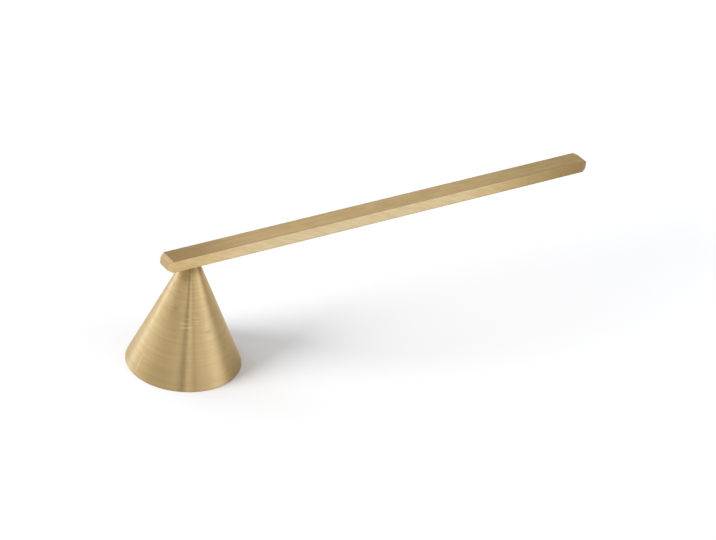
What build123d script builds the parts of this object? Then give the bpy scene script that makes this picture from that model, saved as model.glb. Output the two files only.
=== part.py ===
from build123d import *
from math import atan, cos, radians, tan
import os

# A candle snuffer: a turned brass bell, screwed under one end of a flat brass handle.
# The origin is the centre of the bell's mouth, +Z runs up the bell to the handle, and
# +X runs along the handle to its free end. All sizes are in millimetres.

# Handle, a length of flat bar
bar_length = 200.0
bar_width = 8.0
bar_height = 5.0
bar_overhang = 12.0  # from the bell's axis to the handle's near end
chamfer_length = 2.0  # round both end faces, along the bar
chamfer_depth = 1.0  # across it
edge_break = 0.1  # along the four long edges

# Bell, a cone turned hollow from solid brass
mouth_diameter = 46.0
crown_diameter = 7.0  # the flat top that meets the handle
bell_height = 45.0  # from the rim to the crown
bell_wall = 1.5  # square to the cone's surface
crown_thickness = 4.0  # from the crown down to the washer's seat
rim_round = 0.2  # on both edges of the rim

# Slotted pan-head screw that holds the bell, driven from inside it
thread_diameter = 3.0
thread_pitch = 0.5
head_shoulder = 1.3  # how far the head stands out past the thread
head_height = 1.8
head_round = 0.9  # on the head's lower edge
slot_width = 0.8
slot_depth = 0.7
tip_chamfer = 0.4

# Split lock washer between the screw's head and the crown
washer_band = 1.3  # from bore to rim
washer_thickness = 0.8
split_width = 0.5
split_slant = 20.0  # degrees from upright

# Blind tapped hole in the handle's underside
hole_roof = 0.75  # brass left above the drill's point
drill_point_angle = 118.0

# Clearances, on the radius unless a length is named
thread_clearance = 0.05  # screw in the tapped hole
crown_clearance = 0.2  # screw through the crown
washer_clearance = 0.15  # screw through the washer
seat_clearance = 0.85  # washer in its spot-faced seat
tip_clearance = 0.3  # length of thread left past the screw's tip

# Heights and radii that follow from the sizes above
mouth_radius = mouth_diameter / 2
crown_radius = crown_diameter / 2
cone_slope = (mouth_radius - crown_radius) / bell_height
wall_across = bell_wall / cos(atan(cone_slope))
seat_height = bell_height - crown_thickness
cone_end_radius = crown_radius + crown_thickness * cone_slope - wall_across

thread_radius = thread_diameter / 2
core_radius = thread_radius - thread_pitch / 2
tapped_radius = thread_radius + thread_clearance
drill_point = core_radius / tan(radians(drill_point_angle / 2))
thread_end = bell_height + bar_height - hole_roof - drill_point

head_seat = seat_height - washer_thickness
head_bottom = head_seat - head_height
head_radius = thread_radius + head_shoulder
screw_length = thread_end - tip_clearance - head_seat

washer_bore_radius = thread_radius + washer_clearance
washer_radius = washer_bore_radius + washer_band
split_lean = washer_thickness / 2 * tan(radians(split_slant))

os.makedirs("parts", exist_ok=True)

# Handle: flat bar with chamfered ends and a blind tapped hole above the bell
with BuildPart() as handle_bar:
    with BuildSketch(Plane.YZ.offset(-bar_overhang)):
        with Locations((0, bell_height + bar_height / 2)):
            Rectangle(bar_width, bar_height)
    extrude(amount=bar_length)
    for end in (0, -1):
        end_face = handle_bar.faces().sort_by(Axis.X)[end]
        chamfer(end_face.edges(), chamfer_depth, chamfer_length, reference=end_face)
    chamfer(handle_bar.edges().filter_by(Axis.X), edge_break)
    with BuildSketch(Plane.XZ):
        with BuildLine():
            Polyline(
                (0, bell_height),
                (tapped_radius, bell_height),
                (tapped_radius, thread_end),
                (core_radius, thread_end),
                (0, thread_end + drill_point),
                close=True,
            )
        make_face()
    revolve(axis=Axis.Z, mode=Mode.SUBTRACT)
handle_bar.part.label = "handle_bar"
export_step(handle_bar.part, "parts/handle_bar.step")

# Bell: an even conical wall under a solid crown, spot-faced and drilled from the mouth
with BuildPart() as snuffer_bell:
    with BuildSketch(Plane.XZ):
        with BuildLine():
            Polyline(
                (0, seat_height),
                (cone_end_radius, seat_height),
                (mouth_radius - wall_across, 0),
                (mouth_radius, 0),
                (crown_radius, bell_height),
                (0, bell_height),
                close=True,
            )
        make_face()
    revolve(axis=Axis.Z)
    with Locations(Plane(origin=(0, 0, 0), z_dir=(0, 0, -1))):
        CounterBoreHole(thread_radius + crown_clearance, washer_radius + seat_clearance, seat_height)
    fillet(snuffer_bell.edges().group_by(Axis.Z)[0], rim_round)
snuffer_bell.part.label = "snuffer_bell"
export_step(snuffer_bell.part, "parts/snuffer_bell.step")

# Washer: a flat ring with a slanted split on the side of the handle's free end
with BuildPart() as lock_washer:
    with BuildSketch(Plane.XY.offset(head_seat)):
        Circle(washer_radius)
        Circle(washer_bore_radius, mode=Mode.SUBTRACT)
    extrude(amount=washer_thickness)
    with BuildSketch(Plane.YZ):
        with BuildLine():
            Polyline(
                (-split_width / 2 - split_lean, head_seat),
                (split_width / 2 - split_lean, head_seat),
                (split_width / 2 + split_lean, seat_height),
                (-split_width / 2 + split_lean, seat_height),
                close=True,
            )
        make_face()
    extrude(amount=2 * washer_radius, mode=Mode.SUBTRACT)
lock_washer.part.label = "lock_washer"
export_step(lock_washer.part, "parts/lock_washer.step")

# Screw: a slotted pan head below the washer, its shank up through the crown into the handle
with BuildPart() as bell_screw:
    with BuildSketch(Plane.XY.offset(head_bottom)):
        Circle(head_radius)
    extrude(amount=head_height)
    fillet(bell_screw.edges().group_by(Axis.Z)[0], head_round)
    with BuildSketch(Plane.XY.offset(head_seat)):
        Circle(thread_radius)
    extrude(amount=screw_length)
    chamfer(bell_screw.edges().group_by(Axis.Z)[-1], tip_chamfer)
    with BuildSketch(Plane.XY.offset(head_bottom)):
        Rectangle(2 * head_radius, slot_width)
    extrude(amount=slot_depth, mode=Mode.SUBTRACT)
bell_screw.part.label = "bell_screw"
export_step(bell_screw.part, "parts/bell_screw.step")

print(f"screw length under the head {screw_length:.2f} mm")
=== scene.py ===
import bmesh
import bpy
import math
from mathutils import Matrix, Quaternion, Vector


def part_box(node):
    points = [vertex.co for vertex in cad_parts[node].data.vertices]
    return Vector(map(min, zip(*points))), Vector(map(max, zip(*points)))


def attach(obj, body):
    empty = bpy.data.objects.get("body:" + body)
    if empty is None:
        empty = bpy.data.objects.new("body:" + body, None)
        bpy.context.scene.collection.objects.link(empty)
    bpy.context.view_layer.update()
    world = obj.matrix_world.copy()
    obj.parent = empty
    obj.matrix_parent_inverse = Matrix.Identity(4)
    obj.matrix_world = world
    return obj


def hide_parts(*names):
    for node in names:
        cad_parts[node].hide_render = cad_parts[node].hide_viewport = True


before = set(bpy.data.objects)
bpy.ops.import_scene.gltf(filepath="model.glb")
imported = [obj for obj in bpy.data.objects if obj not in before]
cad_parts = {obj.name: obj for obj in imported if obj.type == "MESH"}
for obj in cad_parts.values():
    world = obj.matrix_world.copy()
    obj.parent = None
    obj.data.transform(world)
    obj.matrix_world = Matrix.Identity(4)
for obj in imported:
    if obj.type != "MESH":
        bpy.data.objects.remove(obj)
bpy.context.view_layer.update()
mm = 0.001
fullTurn = 2 * math.pi
near = 0.01 * mm  # places closer than this are the same place
spare = 1.0 * mm  # how far a cutter stands out of what it cuts
print("frame loaded:", sorted(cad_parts))


# Modelling steps shared by the pieces

finishing = {
    "bevelAngle": 25.0,  # edges flatter than this stay as they are
    "normalWeight": 80,  # lets the large faces set the shading
}


def startPiece(name, point):  # one vertex, from which a profile is drawn
    bpy.ops.object.select_all(action="DESELECT")
    bpy.ops.mesh.primitive_plane_add(size=mm)
    piece = bpy.context.active_object
    piece.name = name
    piece.data.name = name
    bpy.ops.object.mode_set(mode="EDIT")
    bpy.ops.mesh.select_mode(type="VERT")
    bpy.ops.mesh.select_all(action="SELECT")
    bpy.ops.mesh.merge(type="CENTER")
    bpy.ops.transform.translate(value=point)
    return piece


def drawProfile(outline):
    for here, there in zip(outline, outline[1:]):
        step = (there[0] - here[0], 0, there[1] - here[1])
        bpy.ops.mesh.extrude_region_move(TRANSFORM_OT_translate={"value": step})
    bpy.ops.mesh.select_all(action="SELECT")
    bpy.ops.mesh.remove_doubles(threshold=near)


def turnPiece(name, outline, steps):  # outline: radius and height of each corner
    piece = startPiece(name, (outline[0][0], 0, outline[0][1]))
    drawProfile(outline)
    bpy.ops.mesh.spin(steps=steps, angle=fullTurn, center=(0, 0, 0), axis=(0, 0, 1))
    closeShape()
    return piece


def closeShape():
    bpy.ops.mesh.select_all(action="SELECT")
    bpy.ops.mesh.remove_doubles(threshold=near)
    bpy.ops.mesh.normals_make_consistent(inside=False)


def boxPiece(name, low, high):
    bpy.ops.object.select_all(action="DESELECT")
    bpy.ops.mesh.primitive_cube_add(size=1)
    piece = bpy.context.active_object
    piece.name = name
    piece.data.name = name
    bpy.ops.object.mode_set(mode="EDIT")
    bpy.ops.mesh.select_all(action="SELECT")
    bpy.ops.transform.resize(value=high - low)
    bpy.ops.transform.translate(value=(low + high) / 2)
    return piece


def selectRing(piece, radius, height):  # the edges of one circle round the axis
    bpy.ops.mesh.select_mode(type="EDGE")
    bpy.ops.mesh.select_all(action="DESELECT")
    shape = bmesh.from_edit_mesh(piece.data)
    for edge in shape.edges:
        places = [corner.co for corner in edge.verts]
        level = all(abs(place.z - height) < near for place in places)
        edge.select_set(level and all(abs(place.xy.length - radius) < near for place in places))
    bmesh.update_edit_mesh(piece.data)


def selectEnds(piece):  # the faces that look along the bar
    bpy.ops.mesh.select_mode(type="FACE")
    bpy.ops.mesh.select_all(action="DESELECT")
    shape = bmesh.from_edit_mesh(piece.data)
    for face in shape.faces:
        face.select_set(abs(face.normal.x) > max(abs(face.normal.y), abs(face.normal.z)))
    bmesh.update_edit_mesh(piece.data)


def roundSelected(radius, segments):
    bpy.ops.mesh.bevel(offset=radius, segments=segments, affect="EDGES")


def applyModifier(piece, kind, settings):
    bpy.ops.object.mode_set(mode="OBJECT")
    bpy.context.view_layer.objects.active = piece
    modifier = piece.modifiers.new(kind.title(), kind)
    for name, value in settings.items():
        setattr(modifier, name, value)
    bpy.ops.object.modifier_apply(modifier=modifier.name)


def cutAway(piece, cutter):
    applyModifier(piece, "BOOLEAN", {"object": cutter, "operation": "DIFFERENCE", "solver": "EXACT"})
    bpy.data.objects.remove(cutter)


def softenEdges(piece, width, segments):
    settings = {"width": width, "segments": segments, "limit_method": "ANGLE"}
    settings["angle_limit"] = math.radians(finishing["bevelAngle"])
    applyModifier(piece, "BEVEL", settings)


def smoothSurface(piece, angle):
    bpy.ops.object.mode_set(mode="OBJECT")
    bpy.ops.object.select_all(action="DESELECT")
    piece.select_set(True)
    bpy.context.view_layer.objects.active = piece
    bpy.ops.object.shade_smooth_by_angle(angle=math.radians(angle))
    applyModifier(piece, "WEIGHTED_NORMAL", {"keep_sharp": True, "weight": finishing["normalWeight"]})


# Shader maths: a wrapped socket, so that masks read as plain sums

class Wire:
    def __init__(self, tree, socket=None):
        self.tree = tree
        self.socket = socket

    def node(self, kind, settings=None, inputs=None, output=0):
        made = self.tree.nodes.new(kind)
        for name, value in (settings or {}).items():
            if name == "stops":
                self.fillRamp(made.color_ramp.elements, value)
            else:
                setattr(made, name, value)
        for name, value in (inputs or {}).items():
            if isinstance(value, Wire):
                self.tree.links.new(value.socket, made.inputs[name])
            else:
                made.inputs[name].default_value = value
        return Wire(self.tree, made.outputs[output])

    def fillRamp(self, elements, stops):
        elements.remove(elements[1])
        elements[0].position = stops[0][0]
        elements[0].color = stops[0][1]
        for place, colour in stops[1:]:
            elements.new(place).color = colour

    def maths(self, operation, first, second=0.0):
        return self.node("ShaderNodeMath", {"operation": operation}, {0: first, 1: second})

    def __add__(self, other):
        return self.maths("ADD", self, other)

    def __radd__(self, other):
        return self.maths("ADD", other, self)

    def __sub__(self, other):
        return self.maths("SUBTRACT", self, other)

    def __rsub__(self, other):
        return self.maths("SUBTRACT", other, self)

    def __mul__(self, other):
        return self.maths("MULTIPLY", self, other)

    def __rmul__(self, other):
        return self.maths("MULTIPLY", other, self)

    def __truediv__(self, other):
        return self.maths("DIVIDE", self, other)

    def __rtruediv__(self, other):
        return self.maths("DIVIDE", other, self)

    def __pow__(self, other):
        return self.maths("POWER", self, other)

    def __rpow__(self, other):
        return self.maths("POWER", other, self)


def newMaterial(name):
    material = bpy.data.materials.new(name)
    material.use_nodes = True
    material.node_tree.nodes.clear()
    return material, Wire(material.node_tree)


def closeTree(wire, shader, kind):
    end = wire.tree.nodes.new(kind)
    wire.tree.links.new(shader.socket, end.inputs["Surface"])


def splitPoint(wire, source):
    point = wire.node("ShaderNodeTexCoord", output=source)
    return [wire.node("ShaderNodeSeparateXYZ", inputs={0: point}, output=axis) for axis in "XYZ"]


def surfacePoint(wire):  # where on the piece, in metres
    return splitPoint(wire, "Object")


def noiseAt(wire, place, pattern):  # pattern: how often it changes along each axis, and its start
    point = wire.node("ShaderNodeCombineXYZ", inputs=dict(enumerate(place)))
    often, start = pattern
    point = wire.node("ShaderNodeMapping", inputs={"Vector": point, "Scale": often, "Location": start})
    return wire.node("ShaderNodeTexNoise", inputs={"Vector": point, "Scale": 1.0})


def fade(wire, value, band):  # 0 below the band, 1 above it, smooth between
    inputs = {"Value": value, "From Min": band[0], "From Max": band[1]}
    return wire.node("ShaderNodeMapRange", {"interpolation_type": "SMOOTHSTEP"}, inputs)


def within(wire, value, band):  # 1 below the band, 0 above it
    return 1 - fade(wire, value, band)


def blend(wire, share, first, second):  # for colours
    return wire.node("ShaderNodeMix", {"data_type": "RGBA"}, {0: share, 6: first, 7: second}, 2)


def between(first, second, share):  # for values
    return first + (second - first) * share


def mixture(values, shares):
    parts = [value * share for value, share in zip(values, shares)]
    return sum(parts[1:], parts[0])


def lengthOf(sides):
    return mixture(sides, sides) ** 0.5


def metal(wire, colour, roughness, height, look):
    bump = wire.node("ShaderNodeBump", inputs={"Strength": 1.0, "Distance": 1.0, "Height": height})
    inputs = {"Base Color": colour, "Roughness": roughness, "Normal": bump, "Metallic": 1.0}
    inputs["Anisotropic"] = look["anisotropic"]
    inputs["Anisotropic Rotation"] = look["brushTurn"]
    inputs["Specular Tint"] = brass["edge"]
    closeTree(wire, wire.node("ShaderNodeBsdfPrincipled", inputs=inputs), "ShaderNodeOutputMaterial")


def dress(piece, material, nodeName):
    piece.data.materials.clear()
    piece.data.materials.append(material)
    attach(piece, "root")
    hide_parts(nodeName)


brass = {
    "light": (0.80, 0.605, 0.315, 1),
    "deep": (0.69, 0.51, 0.255, 1),
    "edge": (0.85, 0.85, 0.85, 1),  # seen at a grazing angle, on the steel too
    "worn": (0.80, 0.66, 0.425, 1),
    "bright": (0.94, 0.72, 0.38, 1),  # where it is freshly scratched, and the painted highlight line low on the bell's side
    "warm": (0.82, 0.565, 0.29, 1),  # on the cut upper facets
    # stains, also used for painted shade on the bar and the bell
    "stainAndShade": (0.30, 0.195, 0.075, 1),
    # smoke, and painted shade on the bar's top near the bell
    "smokeAndShade": (0.31, 0.165, 0.06, 1),
    "mostStainAndShade": 0.9,
}


# Handle bar: flat stock with chamfered ends and a blind hole underneath

handleBar = {
    "chamferLength": 2.0 * mm,
    "chamferDepth": 1.0 * mm,
    "edgeRound": 0.1 * mm,
    "edgeSegments": 3,
    "holeRadius": 1.55 * mm,
    "pointRadius": 1.25 * mm,
    "holeRoof": 0.75 * mm,
    "pointAngle": 118.0,
    "holeSteps": 48,
    "smoothAngle": 40.0,
    # the texture space lies aside, so that the tangent runs along the bar on every face
    "tangentPlace": (-0.5, -1, 0),
    "tangentSize": (10, 1, 1),
    "anisotropic": 0.8,
    "brushTurn": 0.25,
    # patterns: how often each changes along x, y and z, and where it starts
    "lines": ((25, 6500, 6500), (0, 0, 0)),
    "bands": ((15, 1100, 1100), (3, 0, 0)),
    "strokes": ((70, 300, 1300), (0, 0, 0)),
    "strokeLean": 2.0,  # strokes run slanted: x shifts with height
    "strokeRise": 0.4154,  # and height with x
    "cloud": ((60, 120, 120), (0, 5, 0)),
    "patches": ((140, 260, 260), (0, 0, 3)),
    "sawn": ((300, 300, 5000), (0, 0, 0)),
    "toneShares": (0.5, 0.3, 0.2),  # of grain, patches and lines
    "toneRange": (0.4, 0.6),
    "relief": (0.002 * mm, 0.002 * mm, 0.005 * mm),  # of lines, bands and strokes
    "roughness": 0.32,
    "roughnessShares": (0.08, 0.06, 0.05),  # of grain, cloud and handling
    # where masks fade in or out, by depth under a face or by place along the bar
    "skin": (0.05 * mm, 0.15 * mm),
    "cutSkin": (0.1 * mm, 0.3 * mm),
    "facetReach": (1.8 * mm, 2.1 * mm),
    "facetDrop": (0.9 * mm, 1.1 * mm),
    "edgeWidth": (0.1 * mm, 0.7 * mm),
    "lowEdgeFrom": (4 * mm, 20 * mm),
    "rubbedFrom": (2 * mm, 30 * mm),
    "rubbedTo": (120 * mm, 150 * mm),
    "smokedAndShadedTo": (-6 * mm, 30 * mm),
    "handledAndShadedFrom": (115 * mm, 190 * mm),
    # how much of the wear and the painted shade shows
    "rubbed": 0.15,
    "rubbedShares": (0.4, 0.4),  # more of it in cloud and strokes
    "streakRange": (0.4, 0.6),
    "smokedAndShaded": (0.18, 0.52),  # on the sides and on top
    "handledAndShaded": (0.9, 0.27),
    "sideShade": (0.03, 0.13),  # painted shade on the sides, at the ends and in the middle
    "facetShade": (0.1, 0.26),  # painted shade on the lower and the upper facets
    "edgeStain": 0.3,
    "cutStain": 0.25,
}


def makeHandleBar():
    low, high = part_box("handle_bar")
    end = Vector((handleBar["chamferLength"], 0, 0))
    piece = boxPiece("handleBar", low + end, high - end)
    selectEnds(piece)
    bpy.ops.mesh.extrude_faces_move(TRANSFORM_OT_shrink_fatten={"value": handleBar["chamferLength"]})
    size = high - low
    inset = 2 * handleBar["chamferDepth"]
    shrink = (1, 1 - inset / size.y, 1 - inset / size.z)
    bpy.ops.transform.resize(value=shrink, center_override=(low + high) / 2)
    softenEdges(piece, handleBar["edgeRound"], handleBar["edgeSegments"])
    point = handleBar["pointRadius"] / math.tan(math.radians(handleBar["pointAngle"] / 2))
    threadEnd = high.z - handleBar["holeRoof"] - point
    outline = [
        (0, low.z - spare),
        (handleBar["holeRadius"], low.z - spare),
        (handleBar["holeRadius"], threadEnd),
        (handleBar["pointRadius"], threadEnd),
        (0, threadEnd + point),
    ]
    cutAway(piece, turnPiece("holeCutter", outline, handleBar["holeSteps"]))
    smoothSurface(piece, handleBar["smoothAngle"])
    piece.data.use_auto_texspace = False
    piece.data.texspace_location = handleBar["tangentPlace"]
    piece.data.texspace_size = handleBar["tangentSize"]
    return piece


def makeBarBrass():
    low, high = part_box("handle_bar")
    material, wire = newMaterial("barBrass")
    x, y, z = surfacePoint(wire)
    under = high.z - z
    inward = high.y - wire.maths("ABSOLUTE", y)
    fromEnd = wire.maths("MINIMUM", x - low.x, high.x - x)
    onTop = within(wire, under, handleBar["skin"])
    onSide = within(wire, inward, handleBar["skin"])
    cutEnd = within(wire, fromEnd, handleBar["cutSkin"])
    facets = within(wire, fromEnd, handleBar["facetReach"])
    upper = within(wire, under, handleBar["facetDrop"])
    # brushed along, stroked across on the sides, sawn at the ends
    lines = noiseAt(wire, (x, y, z), handleBar["lines"])
    bands = noiseAt(wire, (x, y, z), handleBar["bands"])
    slanted = (x - z * handleBar["strokeLean"], y, z + x * handleBar["strokeRise"])
    strokes = noiseAt(wire, slanted, handleBar["strokes"])
    cloud = noiseAt(wire, (x, y, z), handleBar["cloud"])
    patches = noiseAt(wire, (x, y, z), handleBar["patches"])
    sawn = noiseAt(wire, (x, y, z), handleBar["sawn"])
    grain = between(between(bands, strokes, onSide), sawn, cutEnd)
    tone = fade(wire, mixture((grain, patches, lines), handleBar["toneShares"]), handleBar["toneRange"])
    colour = blend(wire, tone, brass["deep"], brass["light"])
    # rubbed paler in the middle of the sides, and cut bare on the upper facets
    middle = fade(wire, x, handleBar["rubbedFrom"]) * within(wire, x, handleBar["rubbedTo"])
    streaks = fade(wire, strokes, handleBar["streakRange"])
    rubbed = middle * (handleBar["rubbed"] + mixture((cloud, streaks), handleBar["rubbedShares"]))
    colour = blend(wire, onSide * rubbed, colour, brass["worn"])
    colour = blend(wire, facets * upper, colour, brass["warm"])
    # smoked and painted shade near the bell, mostly on top, and darkened by hands and painted shade towards
    # the free end
    smokedAndShaded = within(wire, x, handleBar["smokedAndShadedTo"]) * (1 - facets)
    # darker towards the free end: tarnish from hands, and painted shade for the dimmer reflection there
    handledAndShaded = fade(wire, x, handleBar["handledAndShadedFrom"])
    lowEdge = within(wire, z - low.z, handleBar["edgeWidth"]) * fade(wire, x, handleBar["lowEdgeFrom"])
    edge = onTop * within(wire, inward, handleBar["edgeWidth"]) + onSide * lowEdge
    colour = blend(wire, smokedAndShaded * between(*handleBar["smokedAndShaded"], onTop), colour, brass["smokeAndShade"])
    # stains and painted shade along the bar
    tarnishAndShade = handledAndShaded * between(*handleBar["handledAndShaded"], onTop) + edge * handleBar["edgeStain"]
    # painted shade on the sides, deeper in the middle
    tarnishAndShade = tarnishAndShade + onSide * between(*handleBar["sideShade"], middle)
    # painted shade on the facets, and stain on the cut ends
    tarnishAndShade = tarnishAndShade + facets * between(*handleBar["facetShade"], upper) + cutEnd * handleBar["cutStain"]
    colour = blend(wire, wire.maths("MINIMUM", tarnishAndShade, brass["mostStainAndShade"]), colour, brass["stainAndShade"])
    varied = mixture((grain - 0.5, cloud - 0.5, handledAndShaded), handleBar["roughnessShares"])
    height = mixture((lines, bands, strokes * onSide), handleBar["relief"])
    metal(wire, colour, handleBar["roughness"] + varied, height, handleBar)
    return material


# Bell: a hollow cone turned from solid, with a seat for the screw under its crown

snufferBell = {
    "mouthRadius": 23.0 * mm,  # before its edge is rounded
    "crownRadius": 3.5 * mm,
    "wall": 1.5 * mm,
    "crownThickness": 4.0 * mm,
    "seatRadius": 3.8 * mm,
    "boreRadius": 1.7 * mm,
    "outerRound": 0.33 * mm,
    "innerRound": 0.131 * mm,
    "roundSegments": 4,
    "steps": 192,
    "smoothAngle": 35.0,
    "anisotropic": 1.0,
    "brushTurn": 0.25,
    # patterns: how often each changes with x and y over the radius, and with z, and where it starts
    "lines": ((0.8, 0.8, 7000), (0, 0, 0)),
    "bands": ((0.4, 0.4, 1900), (4, 0, 0)),
    "rings": ((0.6, 0.6, 1000), (0, 2, 0)),
    "hairs": ((1.5, 1.5, 3000), (0, 7, 0)),
    "hairRange": (0.58, 0.68),
    "hairPatches": (0.4, 0.6),  # of the cloud, where the hairs show
    "scuffs": ((2, 2, 1300), (0, 0, 0)),
    "scuffRange": (0.5, 0.6),
    "cloud": ((90, 90, 60), (0, 0, 0)),  # by x, y and z
    "toneShares": (0.2, 0.4, 0.4),  # of rings, bands and cloud
    "toneRange": (0.33, 0.67),
    "relief": (0.001 * mm, 0.001 * mm, 0.0006 * mm),  # of lines, bands and rings
    "roughness": 0.36,
    "roughnessShares": (0.04, 0.04, 0.12, 0.16),  # of lines, cloud, soot and hairs
    # scratches, and a line down the side that is partly a painted highlight; a heading is in degrees from the
    # handle's free end, anticlockwise from above
    "scuffPlace": (-5.0 * mm, -11.3 * mm, 24.5 * mm),
    "scuffReach": (2.0 * mm, 5.0 * mm),
    "highlightScratchHeading": 183.5,
    "highlightScratchWidth": (0.006, 0.02),  # as a share of the radius there
    "highlightScratchSide": (0.0, 0.5),  # keeps it off the far side
    "highlightScratchFrom": (1.0 * mm, 2.0 * mm),
    "highlightScratchTo": (7.0 * mm, 10.0 * mm),
    "scratchAndHighlightShare": 0.8,
    # grime and painted contact shade, by depth under the crown, and heat tint with painted shade, a painted
    # shade line at the rim, and soot, by height
    "cornerReach": (0.6 * mm, 4.4 * mm),
    "cornerGrimeAndShade": 0.75,
    "shadedHeading": 222.0,
    "shadedWidth": (0.84, 0.99),
    "shadedReach": (3.0 * mm, 7.5 * mm),
    "shadedWaver": 4.0 * mm,
    "shadedDarkening": 0.55,
    "heatAndShadeReach": (2.0 * mm, 16.0 * mm),
    "heatAndShadeDepth": (0.04, 0.18),  # at the cloud's low and high end
    "rimReach": (0.1 * mm, 0.5 * mm),
    "rimShadeDepth": 0.3,
    "insideDepth": (0.6 * mm, 1.1 * mm),
    "sootFrom": (4.0 * mm, 40.0 * mm),
    "sootWaver": 20.0 * mm,
    "sootStain": 0.25,
}


def bellSlope():
    low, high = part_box("snuffer_bell")
    return (snufferBell["mouthRadius"] - snufferBell["crownRadius"]) / (high.z - low.z)


def makeSnufferBell():
    low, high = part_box("snuffer_bell")
    slope = bellSlope()
    innerMouth = snufferBell["mouthRadius"] - snufferBell["wall"] * math.hypot(1, slope)
    seat = high.z - snufferBell["crownThickness"]
    outline = [
        (snufferBell["mouthRadius"], low.z),
        (snufferBell["crownRadius"], high.z),
        (snufferBell["boreRadius"], high.z),
        (snufferBell["boreRadius"], seat),
        (snufferBell["seatRadius"], seat),
        (snufferBell["seatRadius"], low.z + (innerMouth - snufferBell["seatRadius"]) / slope),
        (innerMouth, low.z),
        (snufferBell["mouthRadius"], low.z),
    ]
    piece = turnPiece("snufferBell", outline, snufferBell["steps"])
    selectRing(piece, snufferBell["mouthRadius"], low.z)
    roundSelected(snufferBell["outerRound"], snufferBell["roundSegments"])
    selectRing(piece, innerMouth, low.z)
    roundSelected(snufferBell["innerRound"], snufferBell["roundSegments"])
    smoothSurface(piece, snufferBell["smoothAngle"])
    return piece


def facing(east, north, heading):  # 1 where the bell looks that way, 0 a quarter turn aside
    angle = math.radians(heading)
    return east * math.cos(angle) + north * math.sin(angle)


def bellScratchesAndHighlight(wire, x, y, z, around):  # hair scratches half way up the front, and one down the side that is partly a painted highlight line
    away = lengthOf([place - middle for place, middle in zip((x, y, z), snufferBell["scuffPlace"])])
    scuff = fade(wire, noiseAt(wire, around, snufferBell["scuffs"]), snufferBell["scuffRange"])
    scuff = scuff * within(wire, away, snufferBell["scuffReach"])
    heading = snufferBell["highlightScratchHeading"]
    ahead = facing(around[0], around[1], heading)
    aside = wire.maths("ABSOLUTE", facing(around[0], around[1], heading + 90))
    scratchAndHighlight = within(wire, aside, snufferBell["highlightScratchWidth"]) * fade(wire, ahead, snufferBell["highlightScratchSide"])
    scratchAndHighlight = scratchAndHighlight * fade(wire, z, snufferBell["highlightScratchFrom"]) * within(wire, z, snufferBell["highlightScratchTo"])
    return wire.maths("MAXIMUM", scuff, scratchAndHighlight) * snufferBell["scratchAndHighlightShare"]


def bellGrimeAndShade(wire, z, around, cloud):  # grime and painted contact shade against the handle, and thickest below its short end
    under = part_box("snuffer_bell")[1].z - z
    corner = within(wire, under, snufferBell["cornerReach"])
    shaded = facing(around[0], around[1], snufferBell["shadedHeading"])
    uneven = under - (cloud - 0.5) * snufferBell["shadedWaver"]
    shaded = fade(wire, shaded, snufferBell["shadedWidth"]) * within(wire, uneven, snufferBell["shadedReach"])
    return wire.maths("MAXIMUM", corner * snufferBell["cornerGrimeAndShade"], shaded * snufferBell["shadedDarkening"])


def makeBellBrass():
    material, wire = newMaterial("bellBrass")
    x, y, z = surfacePoint(wire)
    radius = wire.maths("MAXIMUM", lengthOf((x, y)), near)
    around = (x / radius, y / radius, z)
    lines = noiseAt(wire, around, snufferBell["lines"])
    bands = noiseAt(wire, around, snufferBell["bands"])
    rings = noiseAt(wire, around, snufferBell["rings"])
    hairs = fade(wire, noiseAt(wire, around, snufferBell["hairs"]), snufferBell["hairRange"])
    cloud = noiseAt(wire, (x, y, z), snufferBell["cloud"])
    tone = fade(wire, mixture((rings, bands, cloud), snufferBell["toneShares"]), snufferBell["toneRange"])
    colour = blend(wire, tone, brass["deep"], brass["light"])
    # bright scratches, and a painted highlight line low on the side
    colour = blend(wire, bellScratchesAndHighlight(wire, x, y, z, around), colour, brass["bright"])
    # soot inside; outside, grime and painted contact shade, heat tint and painted shade at the mouth, and a
    # painted shade line along the rim
    depth = snufferBell["mouthRadius"] - z * bellSlope() - radius
    inside = fade(wire, depth, snufferBell["insideDepth"])
    soot = inside * fade(wire, z + (cloud - 0.5) * snufferBell["sootWaver"], snufferBell["sootFrom"])
    # darker towards the mouth: heat tint, and painted shade where the highlight weakens low on the bell
    heatAndShade = within(wire, z, snufferBell["heatAndShadeReach"]) * between(*snufferBell["heatAndShadeDepth"], cloud)
    # a painted shade line along the rim, where it stands on the floor
    rimShade = within(wire, z, snufferBell["rimReach"]) * snufferBell["rimShadeDepth"]
    outside = (1 - inside) * (bellGrimeAndShade(wire, z, around, cloud) + heatAndShade + rimShade)
    stainedAndShaded = wire.maths("MINIMUM", soot * snufferBell["sootStain"] + outside, brass["mostStainAndShade"])
    colour = blend(wire, stainedAndShaded, colour, brass["stainAndShade"])
    hairs = hairs * fade(wire, cloud, snufferBell["hairPatches"])
    varied = mixture((lines - 0.5, cloud - 0.5, soot, hairs), snufferBell["roughnessShares"])
    height = mixture((lines, bands, rings), snufferBell["relief"])
    metal(wire, colour, snufferBell["roughness"] + varied, height, snufferBell)
    return material


# Screw: slotted pan head, shank with a rolled thread, chamfered tip

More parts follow.
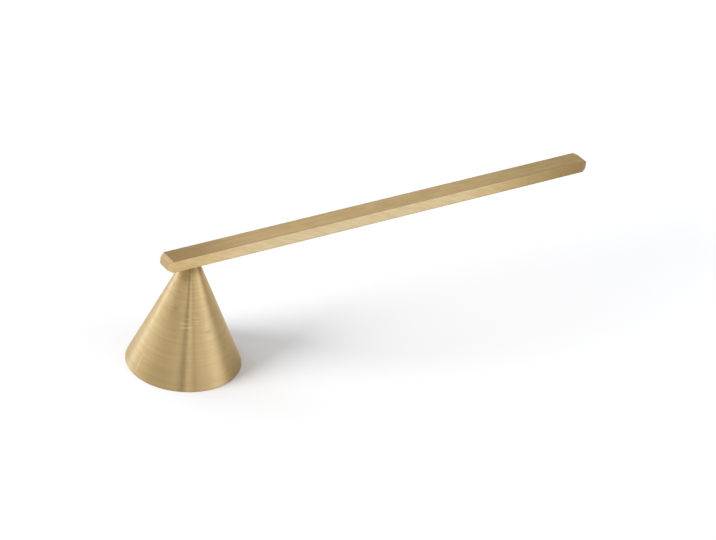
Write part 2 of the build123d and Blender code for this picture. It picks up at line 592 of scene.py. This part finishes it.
bellScrew = {
    "threadRadius": 1.5 * mm,
    "coreRadius": 1.25 * mm,
    "pitch": 0.5 * mm,
    "threadTurns": 14,
    "threadSteps": 48,
    "threadSink": 0.05 * mm,  # the ridge starts this far inside the core
    "headHeight": 1.8 * mm,
    "headRound": 0.9 * mm,
    "roundSegments": 6,
    "slotWidth": 0.8 * mm,
    "slotDepth": 0.7 * mm,
    "tipChamfer": 0.4 * mm,
    "edgeRound": 0.05 * mm,
    "edgeSegments": 2,
    "steps": 64,
    "smoothAngle": 35.0,
    "anisotropic": 0.5,
    "brushTurn": 0.25,
    "rings": ((9000, 300, 9000), (0, 0, 0)),  # by radius, x and height
    "cloud": ((700, 700, 700), (0, 0, 0)),
    "toneRange": (0.35, 0.65),
    "relief": 0.002 * mm,
    "roughness": 0.24,
    "roughnessShares": (0.16, 0.12),  # of rings and cloud
    "slotSide": (0.38 * mm, 0.42 * mm),  # darker in the slot, by distance from its middle
    "slotMouth": (0.0, 0.4 * mm),  # and by height above the head's lower face
    "slotFloor": (1.0 * mm, 1.1 * mm),
    "slotDarkening": 0.6,
}


def makeBellScrew():
    low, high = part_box("bell_screw")
    headRadius = (high.x - low.x) / 2
    seat = low.z + bellScrew["headHeight"]
    outline = [
        (0, low.z),
        (headRadius, low.z),
        (headRadius, seat),
        (bellScrew["coreRadius"], seat),
        (bellScrew["coreRadius"], high.z - bellScrew["tipChamfer"]),
        (bellScrew["threadRadius"] - bellScrew["tipChamfer"], high.z),
        (0, high.z),
    ]
    piece = turnPiece("bellScrew", outline, bellScrew["steps"])
    selectRing(piece, headRadius, low.z)
    roundSelected(bellScrew["headRound"], bellScrew["roundSegments"])
    bpy.ops.object.mode_set(mode="OBJECT")
    reach = headRadius + spare
    slotLow = Vector((-reach, -bellScrew["slotWidth"] / 2, low.z - spare))
    slotHigh = Vector((reach, bellScrew["slotWidth"] / 2, low.z + bellScrew["slotDepth"]))
    cutAway(piece, boxPiece("slotCutter", slotLow, slotHigh))
    softenEdges(piece, bellScrew["edgeRound"], bellScrew["edgeSegments"])
    thread = makeThread(high.z - bellScrew["tipChamfer"])
    bpy.ops.object.select_all(action="DESELECT")
    thread.select_set(True)
    piece.select_set(True)
    bpy.context.view_layer.objects.active = piece
    bpy.ops.object.join()
    smoothSurface(piece, bellScrew["smoothAngle"])
    return piece


def makeThread(top):  # one ridge, wound up the shank
    rise = bellScrew["pitch"]
    start = top - rise * (bellScrew["threadTurns"] + 1)
    root = bellScrew["coreRadius"] - bellScrew["threadSink"]
    ridge = [
        (root, start),
        (bellScrew["threadRadius"], start + rise / 2),
        (root, start + rise),
        (root, start),
    ]
    piece = startPiece("thread", (root, 0, start))
    drawProfile(ridge)
    settings = {"angle": fullTurn, "screw_offset": rise, "iterations": bellScrew["threadTurns"], "axis": "Z"}
    settings["steps"] = bellScrew["threadSteps"]
    settings["render_steps"] = bellScrew["threadSteps"]
    applyModifier(piece, "SCREW", settings)
    bpy.ops.object.mode_set(mode="EDIT")
    bpy.ops.mesh.select_all(action="SELECT")
    bpy.ops.mesh.fill_holes(sides=3)
    closeShape()
    bpy.ops.object.mode_set(mode="OBJECT")
    return piece


def makeScrewBrass():
    material, wire = newMaterial("screwBrass")
    x, y, z = surfacePoint(wire)
    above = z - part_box("bell_screw")[0].z
    rings = noiseAt(wire, (lengthOf((x, y)), x, z), bellScrew["rings"])
    cloud = noiseAt(wire, (x, y, z), bellScrew["cloud"])
    colour = blend(wire, fade(wire, cloud, bellScrew["toneRange"]), brass["deep"], brass["light"])
    slot = within(wire, wire.maths("ABSOLUTE", y), bellScrew["slotSide"])
    slot = slot * fade(wire, above, bellScrew["slotMouth"]) * within(wire, above, bellScrew["slotFloor"])
    colour = blend(wire, slot * bellScrew["slotDarkening"], colour, brass["stainAndShade"])
    varied = mixture((rings - 0.5, cloud - 0.5), bellScrew["roughnessShares"])
    metal(wire, colour, bellScrew["roughness"] + varied, rings * bellScrew["relief"], bellScrew)
    return material


# Lock washer: a flat ring with a slanted split towards the handle's free end

lockWasher = {
    "boreRadius": 1.65 * mm,
    "splitWidth": 0.5 * mm,
    "splitSlant": 20.0,
    "edgeRound": 0.06 * mm,
    "edgeSegments": 2,
    "steps": 96,
    "smoothAngle": 35.0,
    "anisotropic": 0.4,
    "brushTurn": 0.25,
    "light": (0.52, 0.52, 0.53, 1),
    "deep": (0.33, 0.33, 0.34, 1),
    "rings": ((8000, 400, 8000), (0, 0, 0)),  # by radius, x and height
    "cloud": ((900, 900, 900), (0, 0, 0)),
    "toneRange": (0.35, 0.65),
    "relief": 0.002 * mm,
    "roughness": 0.34,
    "roughnessShares": (0.2, 0.14),  # of rings and cloud
}


def makeLockWasher():
    low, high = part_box("lock_washer")
    radius = (high.y - low.y) / 2
    outline = [
        (lockWasher["boreRadius"], low.z),
        (radius, low.z),
        (radius, high.z),
        (lockWasher["boreRadius"], high.z),
        (lockWasher["boreRadius"], low.z),
    ]
    piece = turnPiece("lockWasher", outline, lockWasher["steps"])
    bpy.ops.object.mode_set(mode="OBJECT")
    slant = math.radians(lockWasher["splitSlant"])
    across = lockWasher["splitWidth"] * math.cos(slant) / 2
    cutterLow = Vector((0, -across, low.z - spare))
    cutterHigh = Vector((radius + spare, across, high.z + spare))
    cutter = boxPiece("splitCutter", cutterLow, cutterHigh)
    bpy.ops.transform.rotate(value=slant, orient_axis="X", center_override=(0, 0, (low.z + high.z) / 2))
    cutAway(piece, cutter)
    softenEdges(piece, lockWasher["edgeRound"], lockWasher["edgeSegments"])
    smoothSurface(piece, lockWasher["smoothAngle"])
    return piece


def makeWasherSteel():
    material, wire = newMaterial("washerSteel")
    x, y, z = surfacePoint(wire)
    rings = noiseAt(wire, (lengthOf((x, y)), x, z), lockWasher["rings"])
    cloud = noiseAt(wire, (x, y, z), lockWasher["cloud"])
    colour = blend(wire, fade(wire, cloud, lockWasher["toneRange"]), lockWasher["deep"], lockWasher["light"])
    varied = mixture((rings - 0.5, cloud - 0.5), lockWasher["roughnessShares"])
    metal(wire, colour, lockWasher["roughness"] + varied, rings * lockWasher["relief"], lockWasher)
    return material


# Studio: camera, floor, soft light

view = {
    "azimuth": -35.97,
    "elevation": 31.71,
    "roll": 6.52,
    "distance": 1141.5 * mm,
    "aim": (79.55 * mm, 0, 21.36 * mm),
    "lens": 142.08,
    "sensor": 36.0,
}


def makeCamera():
    azimuth = math.radians(view["azimuth"])
    elevation = math.radians(view["elevation"])
    flat = math.cos(elevation)
    back = Vector((math.sin(azimuth) * flat, -math.cos(azimuth) * flat, math.sin(elevation)))
    bpy.ops.object.camera_add()
    camera = bpy.context.active_object
    camera.data.lens = view["lens"]
    camera.data.sensor_width = view["sensor"]
    camera.location = Vector(view["aim"]) + back * view["distance"]
    camera.rotation_mode = "QUATERNION"
    roll = Quaternion((0, 0, 1), math.radians(view["roll"]))
    camera.rotation_quaternion = (-back).to_track_quat("-Z", "Y") @ roll
    bpy.context.scene.camera = camera


floor = {
    "size": 30.0,
    "drop": 0.02 * mm,  # keeps it clear of the rim
    "colour": (0.95, 0.955, 0.975, 1),  # a little blue, as the light is warm
}


def makeFloor():
    bpy.ops.object.select_all(action="DESELECT")
    bpy.ops.mesh.primitive_plane_add(size=floor["size"], location=(0, 0, -floor["drop"]))
    piece = bpy.context.active_object
    piece.name = "floor"
    material, wire = newMaterial("floorWhite")
    upper = wire.node("ShaderNodeBsdfDiffuse", inputs={"Color": floor["colour"]})
    # seen from below, the floor is left out, so that light reaches into the bell's mouth
    below = wire.node("ShaderNodeNewGeometry", output="Backfacing")
    passed = wire.node("ShaderNodeLightPath", output="Transparent Depth")
    gone = wire.maths("MAXIMUM", below, passed)
    clear = wire.node("ShaderNodeBsdfTransparent")
    surface = wire.node("ShaderNodeMixShader", inputs={0: gone, 1: upper, 2: clear})
    closeTree(wire, surface, "ShaderNodeOutputMaterial")
    piece.data.materials.append(material)


# light level round the horizon, by degrees to the right of the main view
surround = {
    "tint": (0, 0.13, 0.42),  # red, green and blue that the dim parts lose and the bright ones gain
    "levels": [
        (-180, 0.82), (-150, 0.96), (-133, 1.20), (-118, 2.10), (-104, 0.98), (-84, 0.78), (-58, 0.57),
        (-26, 0.57), (-9, 0.75), (0, 0.42), (4, 0.20), (7, 0.08), (10, 0.42), (14, 0.95), (22, 1.00),
        (27, 0.50), (31, 0.50), (36, 0.80), (44, 0.86), (52, 0.88), (66, 1.08), (81, 1.40), (92, 1.10),
        (104, 0.50), (112, 0.40), (148, 0.40), (180, 0.82),
    ],
    "flagFrom": (94, 106),  # a low dark card on the right, and where it fades in and out
    "flagTo": (140, 156),
    "flagHeight": (0.06, 0.26),
    "flagShade": 0.96,
    "overhead": 0.12,
    "overheadHeight": (0.70, 0.92),
    "zenith": 0.55,
    "zenithHeight": (0.93, 0.99),
}


def rampPlace(degrees):  # half way is towards the camera, and both ends are behind the object
    return degrees / 360 + 0.5


def makeSurround():
    world = bpy.data.worlds.new("studio")
    bpy.context.scene.world = world
    world.use_nodes = True
    world.node_tree.nodes.clear()
    wire = Wire(world.node_tree)
    x, y, z = splitPoint(wire, "Generated")
    azimuth = math.radians(view["azimuth"])
    towards = x * math.sin(azimuth) - y * math.cos(azimuth)
    aside = x * math.cos(azimuth) + y * math.sin(azimuth)
    heading = wire.maths("ARCTAN2", aside, towards) / fullTurn + 0.5
    stops = []
    for degrees, level in surround["levels"]:
        colour = [level * (1 - loss * (1 - level)) for loss in surround["tint"]]
        stops.append((rampPlace(degrees), (*colour, 1)))
    horizon = wire.node("ShaderNodeValToRGB", {"stops": stops}, {"Fac": heading})
    flag = fade(wire, heading, [rampPlace(degrees) for degrees in surround["flagFrom"]])
    flag = flag * within(wire, heading, [rampPlace(degrees) for degrees in surround["flagTo"]])
    flag = flag * within(wire, z, surround["flagHeight"])
    sky = blend(wire, flag * surround["flagShade"], horizon, (0, 0, 0, 1))
    for name in ("overhead", "zenith"):
        level = surround[name]
        sky = blend(wire, fade(wire, z, surround[name + "Height"]), sky, (level, level, level, 1))
    closeTree(wire, wire.node("ShaderNodeBackground", inputs={"Color": sky}), "ShaderNodeOutputWorld")


softLight = {
    "strength": 5.0,
    "spread": 40.0,
    "towards": (-0.942, 0.132, 0.309),
}


def makeSoftLight():  # far and wide, so that the floor is even and the shadow soft
    bpy.ops.object.light_add(type="SUN")
    lamp = bpy.context.active_object
    lamp.name = "softLight"
    lamp.data.energy = softLight["strength"]
    lamp.data.angle = math.radians(softLight["spread"])
    lamp.rotation_mode = "QUATERNION"
    lamp.rotation_quaternion = Vector(softLight["towards"]).to_track_quat("Z", "Y")
    lamp.visible_glossy = False  # the brass mirrors the surround alone


makeCamera()
makeFloor()
makeSurround()
makeSoftLight()
print("studio done")

dress(makeHandleBar(), makeBarBrass(), "handle_bar")
print("handle bar done")

dress(makeSnufferBell(), makeBellBrass(), "snuffer_bell")
print("bell done")

dress(makeBellScrew(), makeScrewBrass(), "bell_screw")
print("screw done")

dress(makeLockWasher(), makeWasherSteel(), "lock_washer")
print("washer done")

bpy.context.scene.view_settings.view_transform = "Standard"
